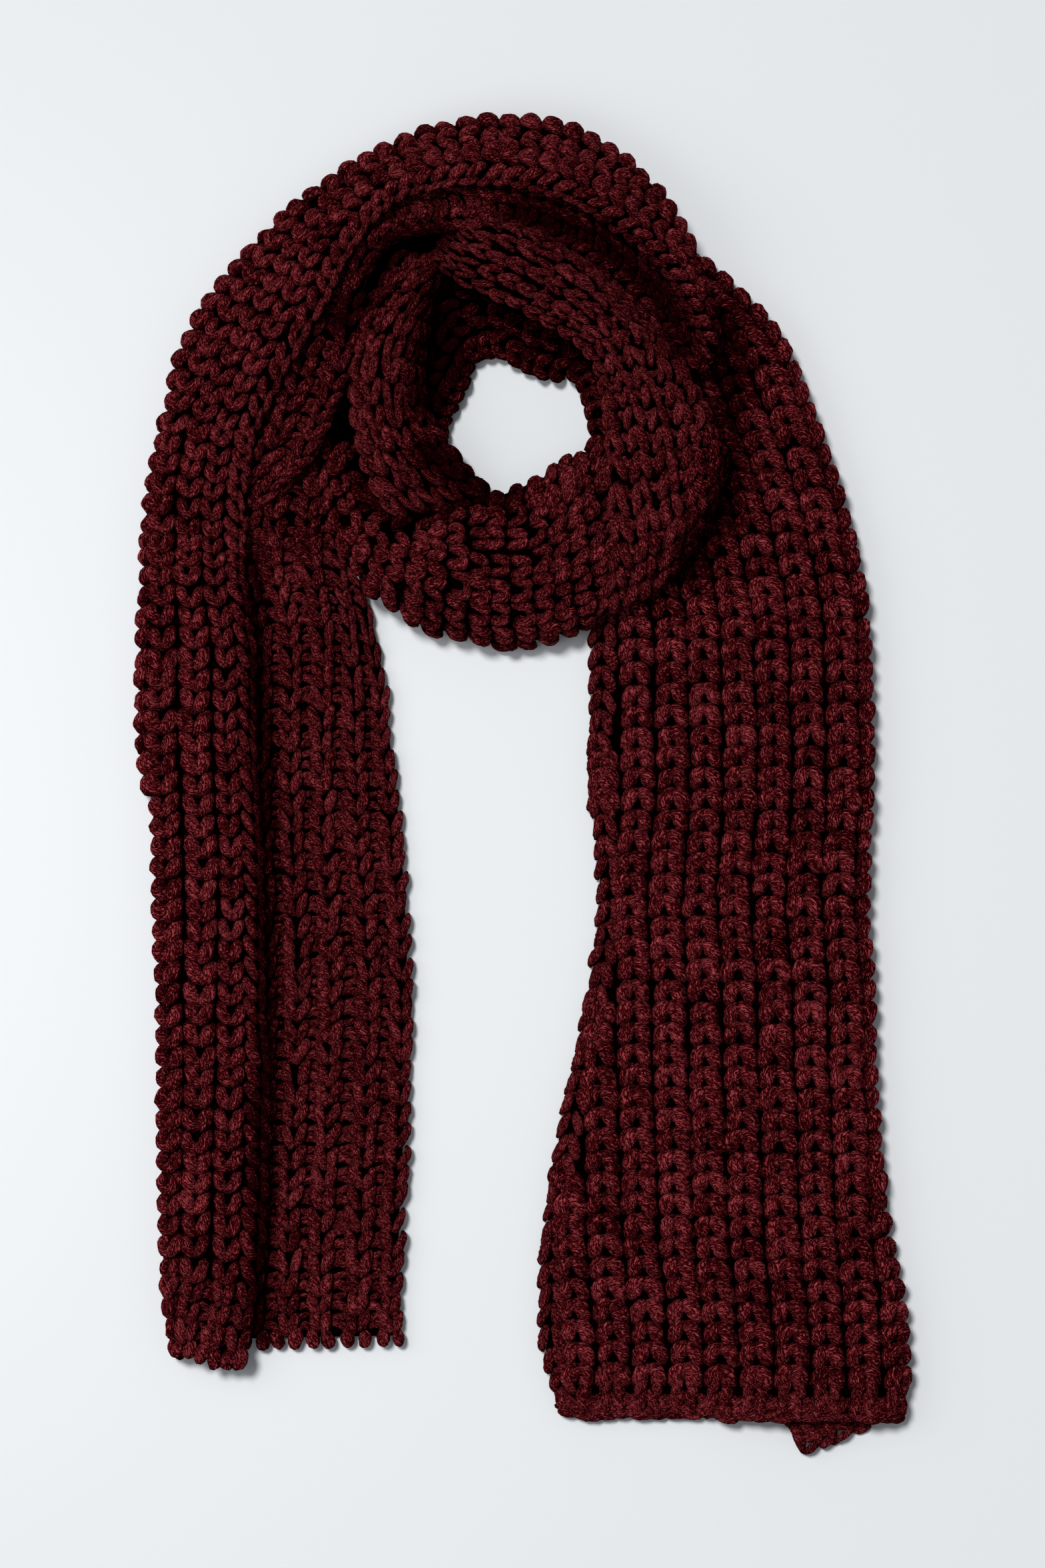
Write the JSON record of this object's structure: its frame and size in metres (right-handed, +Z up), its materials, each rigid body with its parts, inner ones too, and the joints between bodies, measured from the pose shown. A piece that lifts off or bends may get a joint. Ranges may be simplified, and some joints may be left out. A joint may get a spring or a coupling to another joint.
{
  "type": "knit scarf",
  "caption": "Chunky rib-knit scarf, folded lengthwise, looped round a neck opening and laid flat with both tails hanging down.",
  "frame": {"origin": "centre of the laid-out scarf's outline, on the surface that it lies on", "axes": "+Y from the tail ends towards the neck loop, +Z up out of the surface, +X to the viewer's right when seen from above with the loop at the top"},
  "size_m": [0.412, 0.716, 0.0494],
  "materials": {
    "yarn_left_tail": "matt heathered wool yarn",
    "yarn_outer_arc": "matt heathered wool yarn",
    "yarn_neck_turn": "matt heathered wool yarn",
    "yarn_front_band": "matt heathered wool yarn",
    "yarn_inner_left": "matt heathered wool yarn",
    "yarn_under_arc": "matt heathered wool yarn",
    "yarn_right_tail": "matt heathered wool yarn",
    "yarn_hidden_layers": "matt heathered wool yarn"
  },
  "bodies": {
    "root": {"left_tail": "yarn_left_tail", "outer_arc": "yarn_outer_arc", "neck_turn": "yarn_neck_turn", "front_band": "yarn_front_band", "inner_left": "yarn_inner_left", "under_arc": "yarn_under_arc", "right_tail": "yarn_right_tail", "hidden_layers": "yarn_hidden_layers"}
  },
  "joints": []
}
